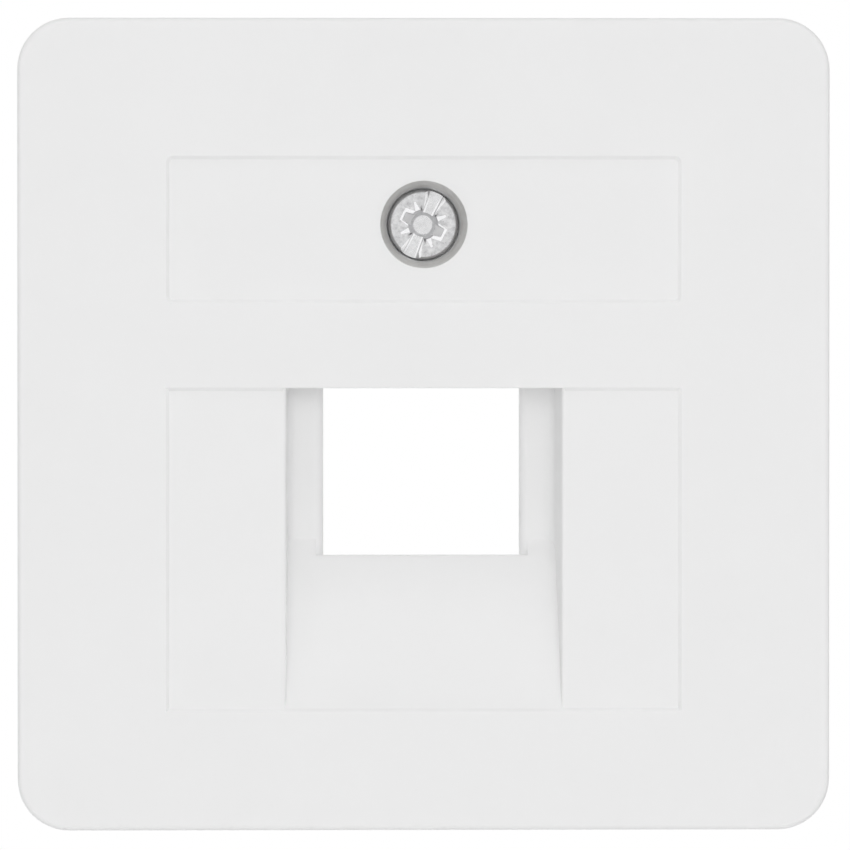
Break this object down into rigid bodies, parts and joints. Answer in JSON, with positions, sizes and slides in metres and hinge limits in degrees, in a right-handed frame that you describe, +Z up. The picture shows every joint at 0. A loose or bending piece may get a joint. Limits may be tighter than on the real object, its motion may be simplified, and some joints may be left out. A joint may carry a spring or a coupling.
{
  "type": "data outlet centre plate",
  "caption": "Square white wall centre plate with a shallow label field, a captive fixing screw in a sunk well and a sloped recess with a window for a data jack.",
  "frame": {"origin": "centre of the rim's rear face, which presses on the ledge of the cover frame", "axes": "+X to the right as seen from the room, +Y into the wall, +Z up the wall"},
  "size_m": [0.0632, 0.0201, 0.0632],
  "materials": {
    "plate_plastic": "satin white moulding",
    "plated_steel": "bright zinc plate",
    "washer_plastic": "natural, slightly waxy"
  },
  "bodies": {
    "plate": {"cover_plate": "plate_plastic"},
    "washer": {"retaining_washer": "washer_plastic"},
    "screw": {"fixing_screw": "plated_steel"}
  },
  "joints": [
    {"name": "screw_float", "type": "slide", "parent": "plate", "child": "washer", "axis": [0, -1, 0], "range_m": [0, 0.0033]},
    {"name": "screw_turn", "type": "hinge", "parent": "washer", "child": "screw", "pos_m": [0, 0, 0.0155], "axis": [0, -1, 0], "continuous": true}
  ]
}
